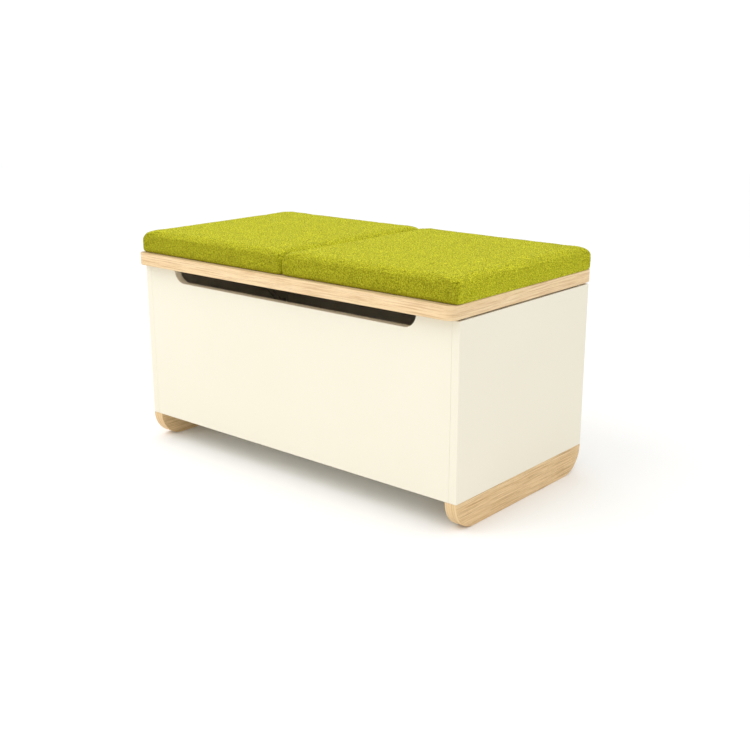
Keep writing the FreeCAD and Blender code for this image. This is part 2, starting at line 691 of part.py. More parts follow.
def make_hinge(holes):
    """The fixed leaf lies on the back panel and the lid leaf under the lid. Both reach their knuckles
    with tabs, and stop short of the other leaf's knuckles."""
    length = "(knuckle_pitch - knuckle_gap)"
    start_x = "-hinge_length / 2"
    barrels, tabs = {}, {}
    for leaf, first in (("fixed", 0), ("lid", 1)):
        barrels[leaf] = []
        tabs[leaf] = []
        for x in knuckle_places(first):
            barrels[leaf].append(cylinder("knuckle_radius", length, x, HINGE_Y, HINGE_Z, "+X"))
            if leaf == "fixed":
                tab = box(length, "leaf_thickness", "leaf_relief + 1",
                          x, BACK_Y, f"{HINGE_Z} - leaf_relief - 1")
            else:
                tab = box(length, "leaf_relief + 1", "leaf_thickness",
                          x, f"{HINGE_Y} - leaf_relief - 1", f"{LID_BOTTOM_Z} - leaf_thickness")
            tabs[leaf].append(tab)
    fixed_plate = box("hinge_length", "leaf_thickness", "leaf_width",
                      start_x, BACK_Y, f"{HINGE_Z} - leaf_relief - leaf_width")
    lid_plate = box("hinge_length", "leaf_width", "leaf_thickness",
                    start_x, f"{HINGE_Y} - leaf_relief - leaf_width", f"{LID_BOTTOM_Z} - leaf_thickness")
    pin = cylinder("pin_radius", "hinge_length", start_x, HINGE_Y, HINGE_Z, "+X")
    running_bore = cylinder("pin_radius + pin_clearance", "hinge_length", start_x, HINGE_Y, HINGE_Z, "+X")
    fixed = fuse(fixed_plate, *barrels["fixed"], *tabs["fixed"])
    moving = fuse(lid_plate, *barrels["lid"], *tabs["lid"])
    node("hinge_fixed_leaf", cut(fixed, pin, holes["back"]))
    node("hinge_lid_leaf", cut(moving, running_bore, holes["lid_leaf"]))
    node("hinge_pin", pin)


# ---------------------------------------------------------------- gas struts

def ball_stud(side, start, x, y, z):
    """Ball and neck. The neck runs outward from the ball to start, which is measured from the axis."""
    outward = "+X" if side > 0 else "-X"
    neck_x = f"{x} + {side} * ball_radius / 2"
    neck = cylinder("stud_radius", f"{start} - ball_radius / 2", neck_x, y, z, outward)
    return fuse(sphere("ball_radius", x, y, z), neck)


def make_brackets(hand, side, holes):
    x = f"({side} * {STRUT_X})"
    plate_x = f"{side} * {INNER_X}" if side < 0 else f"{INNER_X} - plate_thickness"
    plate = box("plate_thickness", "plate_width", "plate_height",
                plate_x, f"{LOWER_PIVOT_Y} - plate_width / 2", f"{LOWER_PIVOT_Z} - plate_height / 2")
    reach = "(strut_inset - plate_thickness)"
    lower = fuse(plate, ball_stud(side, f"({reach})", x, LOWER_PIVOT_Y, LOWER_PIVOT_Z))
    node(f"{hand}_lower_bracket", cut(lower, holes["side"]))

    flange_x = f"{STRUT_X} + flange_offset" if side > 0 else f"-{STRUT_X} - flange_offset - plate_thickness"
    flange_z = f"({UPPER_PIVOT_Z} - flange_below)"
    flange = box("plate_thickness", "plate_width", f"{LID_BOTTOM_Z} - {flange_z}",
                 flange_x, f"{UPPER_PIVOT_Y} - plate_width / 2", flange_z)
    foot_end = f"({STRUT_X} + flange_offset + plate_thickness)"
    foot_x = f"{foot_end} - foot_length" if side > 0 else f"-{foot_end}"
    foot = box("foot_length", "plate_width", "plate_thickness",
               foot_x, f"{UPPER_PIVOT_Y} - plate_width / 2", f"{LID_BOTTOM_Z} - plate_thickness")
    upper = fuse(flange, foot, ball_stud(side, "flange_offset", x, UPPER_PIVOT_Y, UPPER_PIVOT_Z))
    node(f"{hand}_upper_bracket", cut(upper, holes["foot"]))


def socket(side, pivot, neck_way, screwed_in):
    """End fitting round a ball, on the strut's own axis. pivot is the ball's height on that axis, neck_way
    is 1 where the neck points up it, and screwed_in is the rod or stud that the neck holds."""
    outward = "+X" if side > 0 else "-X"
    start = f"-{side} * socket_back"
    barrel = cylinder("socket_radius", "socket_back + socket_front", start, 0, pivot, outward)
    neck_start = pivot if neck_way > 0 else f"{pivot} - socket_neck_length"
    neck = cylinder("socket_neck_radius", "socket_neck_length", 0, 0, neck_start)
    body = fuse(barrel, neck)
    hollow = sphere("ball_radius + ball_clearance", 0, 0, pivot)
    mouth = cylinder("socket_mouth", "socket_radius + socket_front", 0, 0, pivot, outward)
    return cut(body, hollow, mouth, screwed_in)


def make_strut(hand, side):
    rod = cylinder("rod_radius", "rod_end - rod_start", 0, 0, "rod_start")
    piston_z = "(rod_end - piston_height - 0.5)"
    piston = cut(cylinder("piston_radius", "piston_height", 0, 0, piston_z), rod)
    stud = cylinder("rod_radius", "tube_stud_length", 0, 0, "tube_end")
    shell = cylinder("tube_radius", "tube_end - tube_start", 0, 0, "tube_start")
    bore = cylinder("tube_bore", "tube_end - tube_start - tube_end_wall", 0, 0, "tube_start")
    tube = fuse(cut(shell, bore), stud)
    guide = cut(
        cylinder("tube_bore", "guide_height", 0, 0, "tube_start"),
        cylinder("rod_radius + guide_clearance", "guide_height", 0, 0, "tube_start"),
    )
    parts = (
        ("rod", rod), ("piston", piston), ("tube", tube), ("guide", guide),
        ("lower_socket", socket(side, "0", 1, rod)),
        ("upper_socket", socket(side, "strut_closed", -1, stud)),
    )
    for name, made in parts:
        carrier = group(made)
        lean_with_strut(carrier, side)
        node(f"{hand}_strut_{name}", carrier)


# ---------------------------------------------------------------- cushions

def make_cushion(hand, side):
    x = f"({side} * {CUSHION_X})"
    outer = soft_block(
        f"{hand}_cushion_block", "cushion_length", "cushion_depth", "cushion_height",
        "cushion_corner", "cushion_round", x, CUSHION_FRONT_Y, LID_TOP_Z,
    )
    lining = soft_block(
        f"{hand}_wadding_block",
        "cushion_length - 2 * cover_thickness", "cushion_depth - 2 * cover_thickness",
        "cushion_height - cover_thickness - cover_base",
        "cushion_corner - cover_thickness", "cushion_round - cover_thickness",
        x, f"{CUSHION_FRONT_Y} + cover_thickness", f"{LID_TOP_Z} + cover_base",
    )
    core = soft_block(
        f"{hand}_foam_block", "cushion_length - 2 * foam_inset", "cushion_depth - 2 * foam_inset",
        "cushion_height - foam_below_top - foam_above_base", "foam_corner", "foam_round",
        x, f"{CUSHION_FRONT_Y} + foam_inset", f"{LID_TOP_Z} + foam_above_base",
    )
    strip_x = f"{x} - strip_length / 2"
    strip_y = [f"{CUSHION_MIDDLE_Y} + {along} * strip_spread - strip_width / 2" for along in (-1, 1)]

    def strips(thickness, z):
        return group(*[box("strip_length", "strip_width", thickness, strip_x, y, z) for y in strip_y])

    node(f"{hand}_cushion_cover", cut(outer, lining, strips("2 * strip_thickness", LID_TOP_Z)))
    node(f"{hand}_cushion_wadding", cut(lining, core))
    node(f"{hand}_cushion_foam", core)
    node(f"{hand}_hook_strips", strips("strip_thickness", LID_TOP_Z))
    node(f"{hand}_loop_strips", strips("strip_thickness", f"{LID_TOP_Z} + strip_thickness"))

    tape = box("zip_length", "zip_tape_thickness", "zip_tape_height",
               f"{x} - zip_length / 2", CUSHION_BACK_Y, f"{ZIP_Z} - zip_tape_height / 2")
    coil = box("zip_length", "zip_coil_depth", "zip_coil_height",
               f"{x} - zip_length / 2", ZIP_Y, f"{ZIP_Z} - zip_coil_height / 2")
    node(f"{hand}_zip_tape", fuse(tape, coil))


def make_zip_slider(hand, side):
    """A channel over the teeth, with two lugs that hold the pull's pin, at the end towards -X."""
    middle = f"({side} * {CUSHION_X} - {SLIDER_X})"
    near = f"({ZIP_Y} + slider_clearance)"
    block = box("slider_length", f"{SLIDER_FACE_Y} - {near}", "slider_height",
                f"{middle} - slider_length / 2", near, f"{ZIP_Z} - slider_height / 2")
    channel_height = "(zip_coil_height + 2 * slider_clearance)"
    channel = box("slider_length", "zip_coil_depth", channel_height,
                  f"{middle} - slider_length / 2", near, f"{ZIP_Z} - {channel_height} / 2")
    lugs = []
    lug_gap = "(pull_width / 2 + 0.2)"
    for along in (-1, 1):
        lug_x = f"{middle} + {along} * ({lug_gap} + lug_width / 2) - lug_width / 2"
        lugs.append(box("lug_width", "lug_height", "2 * lug_radius",
                        lug_x, SLIDER_FACE_Y, f"{ZIP_Z} - lug_radius"))
        lugs.append(cylinder("lug_radius", "lug_width", lug_x, PULL_PIVOT_Y, ZIP_Z, "+X"))
    pin_length = f"(2 * {lug_gap} + 2 * lug_width)"
    pin = cylinder("pull_pin_radius", pin_length, f"{middle} - {pin_length} / 2", PULL_PIVOT_Y, ZIP_Z, "+X")
    node(f"{hand}_zip_slider", fuse(cut(block, channel), *lugs, pin))

    tab_start = f"{ZIP_Z} - pull_length"
    tab = box("pull_width", "pull_thickness", "pull_length",
              f"{middle} - pull_width / 2", f"{PULL_PIVOT_Y} - pull_thickness / 2", tab_start)
    eye = cylinder("pull_eye_radius", "pull_width", f"{middle} - pull_width / 2", PULL_PIVOT_Y, ZIP_Z, "+X")
    bore = cylinder("pull_pin_radius + pull_pin_clearance", "pull_width",
                    f"{middle} - pull_width / 2", PULL_PIVOT_Y, ZIP_Z, "+X")
    node(f"{hand}_zip_pull", cut(fuse(tab, eye), bore))


# ---------------------------------------------------------------- checking and writing

def write_parts():
    doc.recompute()
    for obj in doc.Objects:
        if {"Invalid", "Error"} & set(obj.State):
            raise RuntimeError(f"{obj.Label} ({obj.Name}) failed: {obj.getStatusString()}")
    for obj in nodes:
        if obj.Shape.isNull() or not obj.Shape.isValid():
            raise RuntimeError(f"{obj.Label} has no valid shape")
    os.makedirs("parts", exist_ok=True)
    for obj in nodes:
        obj.Shape.exportStep(f"parts/{obj.Label}.step")
        size = obj.Shape.optimalBoundingBox()
        print(
            f"{obj.Label:24s} {len(obj.Shape.Solids):3d} solids {obj.Shape.Volume / 1000:10.2f} cm3"
            f"  x {size.XMin:8.2f} {size.XMax:8.2f}  y {size.YMin:8.2f} {size.YMax:8.2f}"
            f"  z {size.ZMin:8.2f} {size.ZMax:8.2f}"
        )


holes = make_carcass()
make_lid(holes)
make_hinge(holes)
for hand, side in SIDES:
    make_brackets(hand, side, holes)
    make_strut(hand, side)
    make_cushion(hand, side)
    make_zip_slider(hand, side)
write_parts()
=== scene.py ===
import json
import math

import bmesh
import bpy
import numpy as np
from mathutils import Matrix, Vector, noise


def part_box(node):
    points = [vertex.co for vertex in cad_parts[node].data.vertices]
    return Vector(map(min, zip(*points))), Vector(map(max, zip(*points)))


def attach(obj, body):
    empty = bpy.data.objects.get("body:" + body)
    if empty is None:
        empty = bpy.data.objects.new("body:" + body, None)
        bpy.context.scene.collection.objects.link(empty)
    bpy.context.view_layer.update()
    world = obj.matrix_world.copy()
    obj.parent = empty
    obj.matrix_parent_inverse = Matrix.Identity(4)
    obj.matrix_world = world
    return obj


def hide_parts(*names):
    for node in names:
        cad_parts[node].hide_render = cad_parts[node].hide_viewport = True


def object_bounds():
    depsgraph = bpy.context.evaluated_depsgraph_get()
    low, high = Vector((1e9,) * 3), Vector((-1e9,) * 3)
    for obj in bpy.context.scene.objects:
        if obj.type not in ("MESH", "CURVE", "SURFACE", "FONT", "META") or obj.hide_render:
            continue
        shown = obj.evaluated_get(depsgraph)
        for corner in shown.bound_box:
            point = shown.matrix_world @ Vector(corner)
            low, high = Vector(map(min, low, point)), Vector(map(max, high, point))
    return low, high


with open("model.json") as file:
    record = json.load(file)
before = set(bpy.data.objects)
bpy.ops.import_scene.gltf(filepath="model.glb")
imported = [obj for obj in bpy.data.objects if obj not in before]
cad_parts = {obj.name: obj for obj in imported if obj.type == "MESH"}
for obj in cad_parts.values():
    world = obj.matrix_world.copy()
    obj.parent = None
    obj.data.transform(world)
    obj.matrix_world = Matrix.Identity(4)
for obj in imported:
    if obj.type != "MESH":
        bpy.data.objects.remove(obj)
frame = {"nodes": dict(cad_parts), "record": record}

# A wooden toy box with a cushioned lid: materials for its CAD parts, two simulated cushions, and the
# zips behind them. Metres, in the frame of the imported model: X along the box, +Y to its back, +Z up.

MM = 0.001
CAD_LOW, CAD_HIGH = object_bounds()
SIDES = ("left", "right")

# ---------------------------------------------------------------- camera, light and floor

CAMERA_AZIMUTH = 40.41
CAMERA_ELEVATION = 16.03
CAMERA_DISTANCE = 2.464
CAMERA_AIM = Vector((0.0552, 0.0, 0.1956))
CAMERA_LENS = 52.8
CAMERA_SENSOR = 36
LIGHT_AIM = Vector((0, 0, 0.25))
WORLD_STRENGTH = 1.04
FLOOR_SIZE = 14
FLOOR_BELOW = 0.2 * MM      # keeps the floor clear of the runners' undersides


def away(azimuth, elevation):
    """Unit vector from the object towards a place at that azimuth and elevation, in degrees."""
    a, e = math.radians(azimuth), math.radians(elevation)
    return Vector((math.sin(a) * math.cos(e), -math.cos(a) * math.cos(e), math.sin(e)))


def link(obj):
    bpy.context.scene.collection.objects.link(obj)
    return obj


def make_camera():
    camera = link(bpy.data.objects.new("camera", bpy.data.cameras.new("camera")))
    back = away(CAMERA_AZIMUTH, CAMERA_ELEVATION)
    camera.location = CAMERA_AIM + back * CAMERA_DISTANCE
    camera.rotation_mode = "QUATERNION"
    camera.rotation_quaternion = (-back).to_track_quat("-Z", "Y")
    camera.data.sensor_width = CAMERA_SENSOR
    camera.data.lens = CAMERA_LENS
    camera.data.clip_end = 60
    bpy.context.scene.camera = camera


def make_area_light(name, azimuth, elevation, distance, size, watts, colour):
    """A soft round light that faces the middle of the box."""
    data = bpy.data.lights.new(name, "AREA")
    data.shape = "DISK"
    data.size = size
    data.energy = watts
    data.color = colour
    light = link(bpy.data.objects.new(name, data))
    back = away(azimuth, elevation)
    light.location = LIGHT_AIM + back * distance
    light.rotation_mode = "QUATERNION"
    light.rotation_quaternion = (-back).to_track_quat("-Z", "Y")


def make_world():
    """Plain white light from all round."""
    world = bpy.data.worlds.new("studio")
    world.use_nodes = True
    background = world.node_tree.nodes["Background"]
    background.inputs["Color"].default_value = (1, 1, 1, 1)
    background.inputs["Strength"].default_value = WORLD_STRENGTH
    bpy.context.scene.world = world


def make_floor():
    bpy.ops.mesh.primitive_plane_add(size=FLOOR_SIZE, location=(0, 0, -FLOOR_BELOW))
    floor = bpy.context.object
    floor.name = "floor"
    material = new_material("floor_white")
    shader = material.node_tree.nodes["Principled BSDF"]
    shader.inputs["Base Color"].default_value = (0.97, 0.97, 0.965, 1)
    shader.inputs["Roughness"].default_value = 0.9
    shader.inputs["Specular IOR Level"].default_value = 0.1
    floor.data.materials.append(material)


# ---------------------------------------------------------------- node helpers

def new_material(name):
    material = bpy.data.materials.new(name)
    material.use_nodes = True
    return material


class Shader:
    """A material's node tree, with short calls for the nodes used here. Coordinates are in metres."""

    def __init__(self, name, **values):
        self.material = new_material(name)
        self.tree = self.material.node_tree
        self.principled = self.tree.nodes["Principled BSDF"]
        for socket, value in values.items():
            self.principled.inputs[socket.replace("_", " ")].default_value = value
        coordinates = self.tree.nodes.new("ShaderNodeTexCoord")
        self.place = coordinates.outputs["Object"]
        self.normal = coordinates.outputs["Normal"]

    def add(self, kind, inputs, **properties):
        """A new node, whose inputs take values or other nodes' outputs."""
        made = self.tree.nodes.new("ShaderNode" + kind)
        for name, value in properties.items():
            setattr(made, name, value)
        for key, value in inputs.items():
            if isinstance(value, bpy.types.NodeSocket):
                self.tree.links.new(value, made.inputs[key])
            else:
                made.inputs[key].default_value = value
        return made

    def set(self, socket, value):
        """Links a node's output to the principled shader."""
        self.tree.links.new(value, self.principled.inputs[socket])

    def math(self, operation, a, b=0.0):
        return self.add("Math", {0: a, 1: b}, operation=operation).outputs[0]

    def stretched(self, x, y, z, place=None):
        """The place, scaled by a number of its own along each axis."""
        made = self.add("VectorMath", {0: place or self.place, 1: (x, y, z)}, operation="MULTIPLY")
        return made.outputs[0]

    def noise(self, vector, scale=1.0, detail=2.0, rough=0.5, distortion=0.0):
        made = self.add("TexNoise", {
            "Vector": vector, "Scale": scale, "Detail": detail, "Roughness": rough,
            "Distortion": distortion,
        })
        return made.outputs["Fac"]

    def ramp(self, factor, *stops):
        """stops are (position, colour), where a colour may be a grey number."""
        made = self.add("ValToRGB", {"Fac": factor})
        ramp = made.color_ramp
        while len(ramp.elements) < len(stops):
            ramp.elements.new(0.5)
        for element, (position, colour) in zip(ramp.elements, stops):
            element.position = position
            if isinstance(colour, (int, float)):
                colour = (colour, colour, colour)
            element.color = (*colour, 1)
        return made.outputs["Color"]

    def mix(self, factor, a, b, blend="MIX"):
        """Two colours mixed, where a factor of 1 is all b."""
        made = self.add("Mix", {}, data_type="RGBA", blend_type=blend)
        for key, value in (("Factor", factor), ("A", a), ("B", b)):
            socket = next(s for s in made.inputs if s.name == key and s.enabled)
            if isinstance(value, bpy.types.NodeSocket):
                self.tree.links.new(value, socket)
            else:
                socket.default_value = (*value, 1) if isinstance(value, tuple) else value
        return next(s for s in made.outputs if s.enabled)

    def mapped(self, value, low, high):
        """0 to 1 spread over low to high."""
        made = self.add("MapRange", {"Value": value, "To Min": low, "To Max": high})
        return made.outputs["Result"]

    def bump(self, height, distance, strength=1.0):
        inputs = {"Height": height, "Distance": distance, "Strength": strength}
        self.set("Normal", self.add("Bump", inputs).outputs["Normal"])


# ---------------------------------------------------------------- materials

def within(s, parts, low, high):
    """1 where the place lies between those corners, and 0 elsewhere."""
    inside = None
    for axis, floor, ceiling in zip("XYZ", low, high):
        above = s.math("GREATER_THAN", parts.outputs[axis], floor)
        both = s.math("MULTIPLY", above, s.math("LESS_THAN", parts.outputs[axis], ceiling))
        inside = both if inside is None else s.math("MULTIPLY", inside, both)
    return inside


def white_lacquer():
    """Warm white satin lacquer on board, with the faint unevenness of a sprayed coat. The faces inside
    the box are painted a lighter white, as painted light for the dim inside of the box."""
    s = Shader("white_lacquer", Specular_IOR_Level=0.4)
    left_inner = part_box("left_side_panel")[1].x
    front_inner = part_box("front_panel")[1].y
    back_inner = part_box("back_panel")[0].y
    bottom_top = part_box("bottom_panel")[1].z
    skin = 0.5 * MM
    parts = s.add("SeparateXYZ", {"Vector": s.place})
    inside = within(
        s, parts,
        (left_inner - skin, front_inner - skin, bottom_top - skin),
        (-left_inner + skin, back_inner + skin, CAD_HIGH.z),
    )
    cloud = s.noise(s.place, 2.5, 3)
    lacquer = s.ramp(cloud, (0.3, (0.790, 0.746, 0.612)), (0.7, (0.812, 0.768, 0.636)))
    # Painted light: the faces inside the box take a lighter white, standing in for light inside the box.
    s.set("Base Color", s.mix(inside, lacquer, (0.930, 0.890, 0.765)))
    s.set("Roughness", s.mapped(s.noise(s.place, 9, 4), 0.40, 0.52))
    s.bump(s.noise(s.place, 420, 2), 0.00012, 0.35)
    return s.material


def oak_colour(s, along, light, middle, dark):
    """Colour and relief of oak, from a place whose X runs along the grain and is already stretched so
    that 1 is one streak's length along it and one streak's width across it."""
    wander = s.noise(s.stretched(0.30, 0.03, 0.03, along), 1.0, 2, 0.5)
    shifted = s.add("VectorMath", {
        0: along, 1: s.add("CombineXYZ", {"Y": s.math("MULTIPLY", wander, 4.0)}).outputs[0],
    }, operation="ADD").outputs[0]
    growth = s.noise(s.stretched(0.20, 0.16, 0.16, shifted), 1.0, 2, 0.5)
    streaks = s.noise(shifted, 1.0, 3, 0.60)
    fibre = s.noise(s.stretched(2.0, 6.0, 6.0, shifted), 1.0, 3, 0.6)
    pores = s.noise(s.stretched(5.0, 14.0, 14.0, along), 1.0, 1, 0.5)
    colour = s.ramp(streaks, (0.39, dark), (0.50, middle), (0.60, light))
    colour = s.mix(s.ramp(growth, (0.36, 0.22), (0.60, 0.0)), colour, middle, "MULTIPLY")
    colour = s.mix(s.ramp(fibre, (0.36, 0.30), (0.60, 0.0)), colour, dark)
    pore_mask = s.ramp(pores, (0.30, 0.55), (0.42, 0.0))
    deep = tuple(channel * 0.62 for channel in dark)
    colour = s.mix(pore_mask, colour, deep)
    relief = s.math("ADD", s.math("MULTIPLY", fibre, 0.4), s.math("MULTIPLY", streaks, 0.6))
    relief = s.math("SUBTRACT", relief, s.math("MULTIPLY", pore_mask, 0.6))
    return colour, relief


def grain(s, place, length, width):
    """A place stretched for oak_colour: X runs along streaks of that length and width, in metres."""
    return s.stretched(1 / length, 1 / width, 1 / width, place)


OAK_LAYER = 5.4 * MM        # thickness of the layers that show round the lid's edge


def lid_oak():
    """Oak faced board: grain along the box on its faces, which are painted darker as painted shade, and
    fine layers round its edges.
    """
    s = Shader("lid_oak", Specular_IOR_Level=0.35)
    up = s.add("SeparateXYZ", {"Vector": s.normal}).outputs["Z"]
    on_face = s.ramp(s.math("ABSOLUTE", up), (0.62, 0.0), (0.80, 1.0))
    parts = s.add("SeparateXYZ", {"Vector": s.place})
    run = s.math("ADD", parts.outputs["X"], parts.outputs["Y"])
    edge = s.add("CombineXYZ", {"X": run, "Y": parts.outputs["Z"]}).outputs[0]
    light, middle, dark = (0.880, 0.690, 0.425), (0.830, 0.635, 0.375), (0.660, 0.462, 0.255)
    face_colour, face_relief = oak_colour(s, grain(s, s.place, 0.16, 0.0055), light, middle, dark)
    # Painted shade: the top face's colour is multiplied darker, standing in for the shade the cushions
    # cast on the lid in front of them.
    face_colour = s.mix(1.0, face_colour, (0.86, 0.85, 0.82), "MULTIPLY")
    edge_colour, edge_relief = oak_colour(s, grain(s, edge, 0.090, 0.0024), light, middle, dark)
    wave = s.math("MULTIPLY", s.noise(s.stretched(14, 14, 40), 1.0, 2), 2.2 * MM)
    level = s.math("ADD", parts.outputs["Z"], wave)
    layer = s.math("FRACT", s.math("DIVIDE", level, OAK_LAYER))
    seam = s.ramp(s.math("ABSOLUTE", s.math("SUBTRACT", layer, 0.5)), (0.0, 0.55), (0.14, 0.0))
    patchy = s.ramp(s.noise(s.stretched(9, 9, 60), 1.0, 3), (0.42, 0.0), (0.60, 1.0))
    edge_colour = s.mix(s.math("MULTIPLY", seam, patchy), edge_colour, (0.560, 0.335, 0.205))
    s.set("Base Color", s.mix(on_face, edge_colour, face_colour))
    s.set("Roughness", s.mapped(face_relief, 0.60, 0.48))
    s.bump(s.mix(on_face, edge_relief, face_relief), 0.00018, 0.6)
    return s.material


def runner_oak():
    """Solid oak with its grain along the runner, and straight lines over its rounded ends."""
    s = Shader("runner_oak", Specular_IOR_Level=0.35)
    sideways = s.math("ABSOLUTE", s.add("SeparateXYZ", {"Vector": s.normal}).outputs["X"])
    on_side = s.ramp(sideways, (0.5, 0.0), (0.8, 1.0))
    parts = s.add("SeparateXYZ", {"Vector": s.place})
    side = s.add("CombineXYZ", {"X": parts.outputs["Y"], "Y": parts.outputs["Z"]}).outputs[0]
    end = s.add("CombineXYZ", {"X": parts.outputs["Y"], "Y": parts.outputs["X"]}).outputs[0]
    light, middle, dark = (0.860, 0.650, 0.380), (0.780, 0.570, 0.315), (0.510, 0.330, 0.150)
    end_dark = (0.640, 0.445, 0.225)
    side_colour, side_relief = oak_colour(s, grain(s, side, 0.110, 0.0014), light, middle, dark)
    end_colour, end_relief = oak_colour(s, grain(s, end, 0.090, 0.0032), light, middle, end_dark)
    s.set("Base Color", s.mix(on_side, end_colour, side_colour))
    s.set("Roughness", s.mapped(side_relief, 0.62, 0.50))
    s.bump(s.mix(on_side, end_relief, side_relief), 0.00025, 0.7)
    return s.material


def beech():
    """Pale brown dowel wood with short flecks."""
    s = Shader("beech", Roughness=0.6)
    flecks = s.noise(s.stretched(120, 900, 900), 1, 3)
    s.set("Base Color", s.ramp(flecks, (0.35, (0.52, 0.34, 0.20)), (0.65, (0.68, 0.48, 0.30))))
    s.bump(flecks, 0.0001, 0.5)
    return s.material


def felted_wool():
    """Lime wool with a short dense nap in mottled tufts two to three millimetres across. Faces turned
    to the front are painted darker, and the ends a little darker, as painted shade."""
    s = Shader("felted_wool", Roughness=0.94, Specular_IOR_Level=0.10, Sheen_Weight=0.14)
    s.principled.inputs["Sheen Roughness"].default_value = 0.45
    s.principled.inputs["Sheen Tint"].default_value = (0.85, 0.85, 0.12, 1)
    tufts = s.noise(s.place, 450, 2, 0.60, 0.2)
    fluff = s.noise(s.place, 1300, 2, 0.6)
    cloud = s.noise(s.place, 26, 3, 0.5)
    blend = s.math("ADD", s.math("MULTIPLY", tufts, 0.72), s.math("MULTIPLY", fluff, 0.28))
    dark, middle, light = (0.190, 0.186, 0.003), (0.452, 0.446, 0.011), (0.790, 0.775, 0.042)
    colour = s.ramp(blend, (0.41, dark), (0.50, middle), (0.58, light))
    colour = s.mix(s.ramp(cloud, (0.35, 0.12), (0.60, 0.0)), colour, dark)
    # Painted shade: faces turned to the front are mixed towards a dark lime, and faces turned to the
    # ends towards a deeper lime, standing in for the shade on those faces.
    facing = s.add("SeparateXYZ", {"Vector": s.normal})
    front_painted_shade = s.ramp(s.math("MULTIPLY", facing.outputs["Y"], -1.0), (0.10, 0.0), (0.85, 0.54))
    sideways = s.ramp(s.math("ABSOLUTE", facing.outputs["X"]), (0.35, 0.0), (0.95, 0.32))
    # Painted shade colour for the ends of the cushion.
    deeper = (0.335, 0.330, 0.008)
    colour = s.mix(sideways, colour, deeper)
    front_painted_shade_colour = (0.175, 0.160, 0.004)
    s.set("Base Color", s.mix(front_painted_shade, colour, front_painted_shade_colour))
    s.bump(blend, 0.0022, 0.9)
    return s.material


WAVE_SCALE = math.tau / 20      # the wave texture's Scale for bands a metre apart


def webbing(name, light, dark, pitch):
    """A woven tape: ribs across it, a thread apart."""
    s = Shader(name, Roughness=0.85, Specular_IOR_Level=0.2)
    rib = s.add("TexWave", {
        "Vector": s.place, "Scale": WAVE_SCALE / pitch, "Distortion": 0.8,
        "Detail": 1.0, "Detail Scale": 3.0,
    }, bands_direction="X").outputs["Fac"]
    speck = s.noise(s.place, 1800, 2)
    weave = s.math("ADD", s.math("MULTIPLY", rib, 0.6), s.math("MULTIPLY", speck, 0.4))
    s.set("Base Color", s.ramp(weave, (0.25, dark), (0.7, light)))
    s.bump(weave, 0.0003, 0.8)
    return s.material


def brushed_steel(name, grey, stretch):
    """Steel brushed along the axis that has the low number in stretch, or even where all are alike."""
    s = Shader(name, Metallic=1.0)
    streak = s.noise(s.stretched(*stretch), 1, 4, 0.65)
    s.set("Base Color", s.ramp(streak, (0.3, tuple(0.86 * g for g in grey)), (0.7, grey)))
    s.set("Roughness", s.mapped(streak, 0.24, 0.46))
    s.bump(streak, 0.00004, 0.6)
    return s.material


def coated(name, colour, low, high, fineness, depth):
    """Powder coat, moulded nylon or rubber: an even colour with a fine skin, and a roughness from low
    to high."""
    s = Shader(name, Specular_IOR_Level=0.45)
    skin = s.noise(s.place, fineness, 3, 0.55)
    deeper = tuple(0.8 * channel for channel in colour)
    s.set("Base Color", s.ramp(skin, (0.3, deeper), (0.7, colour)))
    s.set("Roughness", s.mapped(skin, low, high))
    s.bump(skin, depth, 0.5)
    return s.material


def polished_rod():
    """Chrome plated steel, polished along its length."""
    s = Shader("polished_rod", Metallic=1.0)
    hair = s.noise(s.stretched(2600, 60, 60), 1, 2)
    s.set("Base Color", s.ramp(hair, (0.3, (0.72, 0.73, 0.74)), (0.7, (0.80, 0.81, 0.82))))
    s.set("Roughness", s.mapped(hair, 0.07, 0.16))
    return s.material


def open_foam():
    """Cream polyurethane foam with open cells."""
    s = Shader("open_foam", Roughness=0.95)
    cells = s.add("TexVoronoi", {"Vector": s.place, "Scale": 700}).outputs["Distance"]
    s.set("Base Color", s.ramp(cells, (0.0, (0.55, 0.50, 0.30)), (0.6, (0.82, 0.77, 0.55))))
    s.bump(cells, 0.0006, 0.8)
    return s.material


def wadding():
    """White fibre wadding, a tangle of fine threads."""
    s = Shader("fibre_wadding", Roughness=0.9, Sheen_Weight=0.3)
    fibre = s.noise(s.place, 260, 4, 0.7, 2.5)
    s.set("Base Color", s.ramp(fibre, (0.3, (0.70, 0.70, 0.67)), (0.65, (0.86, 0.86, 0.84))))
    s.bump(fibre, 0.0012, 0.8)
    return s.material


